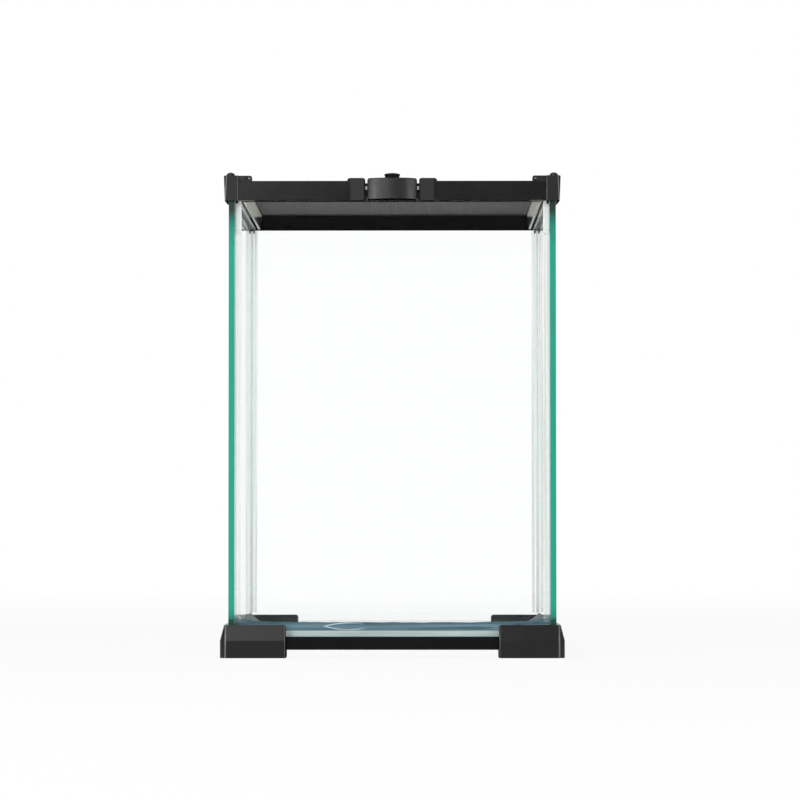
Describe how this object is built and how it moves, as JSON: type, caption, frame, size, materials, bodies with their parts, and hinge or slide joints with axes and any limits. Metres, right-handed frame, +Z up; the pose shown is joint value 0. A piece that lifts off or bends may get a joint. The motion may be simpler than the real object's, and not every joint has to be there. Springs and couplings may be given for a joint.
{
  "type": "reptile terrarium",
  "caption": "Upright glass terrarium with black moulded feet and rim, a hinged mesh lid held by a sprung front latch with a lock knob, and shuttered cable inlets.",
  "frame": {"origin": "on the ground plane under the middle of the tank, at the centre of the four stacking sockets", "axes": "+Z up, +X to the right as seen from the front, +Y to the rear; the latch is on the -Y side"},
  "size_m": [0.2132, 0.2164, 0.3015],
  "materials": {
    "glass": "polished float glass, green edges",
    "silicone": "clear silicone, slightly milky",
    "black_plastic": "fine satin",
    "dark_plastic": "satin",
    "knob": "gloss black",
    "mesh": "black coated wire",
    "steel": "drawn"
  },
  "bodies": {
    "root": {"front_pane": "glass", "rear_pane": "glass", "left_pane": "glass", "right_pane": "glass", "floor_pane": "glass", "corner_silicone": "silicone", "floor_silicone": "silicone", "rim_silicone": "silicone", "front_left_foot": "black_plastic", "front_right_foot": "black_plastic", "rear_left_foot": "black_plastic", "rear_right_foot": "black_plastic", "front_base_rail": "dark_plastic", "rear_base_rail": "dark_plastic", "left_base_rail": "dark_plastic", "right_base_rail": "dark_plastic", "front_rim_rail": "dark_plastic", "rear_rim_rail": "dark_plastic", "left_rim_rail": "dark_plastic", "right_rim_rail": "dark_plastic", "front_left_block": "black_plastic", "front_right_block": "black_plastic", "rear_left_block": "black_plastic", "rear_right_block": "black_plastic", "arm_rivets": "steel", "left_hinge_bracket": "black_plastic", "right_hinge_bracket": "black_plastic", "left_hinge_pin": "steel", "right_hinge_pin": "steel", "hinge_screws": "steel", "left_latch_tower": "black_plastic", "right_latch_tower": "black_plastic", "latch_pin": "steel", "left_inlet_guide": "dark_plastic", "right_inlet_guide": "dark_plastic"},
    "lid": {"lid_frame": "dark_plastic", "lid_mesh": "mesh", "mesh_clamp": "dark_plastic", "left_lid_knuckle": "dark_plastic", "right_lid_knuckle": "dark_plastic"},
    "flap": {"latch_flap": "dark_plastic", "latch_spring": "steel"},
    "knob": {"lock_knob": "knob", "lock_tongue": "steel", "tongue_clip": "steel"},
    "left_shutter": {"left_inlet_shutter": "dark_plastic"},
    "right_shutter": {"right_inlet_shutter": "dark_plastic"}
  },
  "joints": [
    {"name": "lid_hinge", "type": "hinge", "parent": "root", "child": "lid", "pos_m": [0, 0.0975, 0.2987], "axis": [-1, 0, 0], "range_deg": [0, 100]},
    {"name": "latch_tilt", "type": "hinge", "parent": "root", "child": "flap", "pos_m": [0, -0.1025, 0.2909], "axis": [1, 0, 0], "range_deg": [0, 15], "stiffness_Nm_per_rad": 0.08, "springref_deg": -17.19, "deforming": ["latch_spring"]},
    {"name": "knob_turn", "type": "hinge", "parent": "flap", "child": "knob", "pos_m": [0, -0.1044, 0.295], "axis": [0, 0, 1], "range_deg": [0, 90]},
    {"name": "left_shutter_slide", "type": "slide", "parent": "root", "child": "left_shutter", "axis": [1, 0, 0], "range_m": [0, 0.0277]},
    {"name": "right_shutter_slide", "type": "slide", "parent": "root", "child": "right_shutter", "axis": [-1, 0, 0], "range_m": [0, 0.0277]}
  ]
}
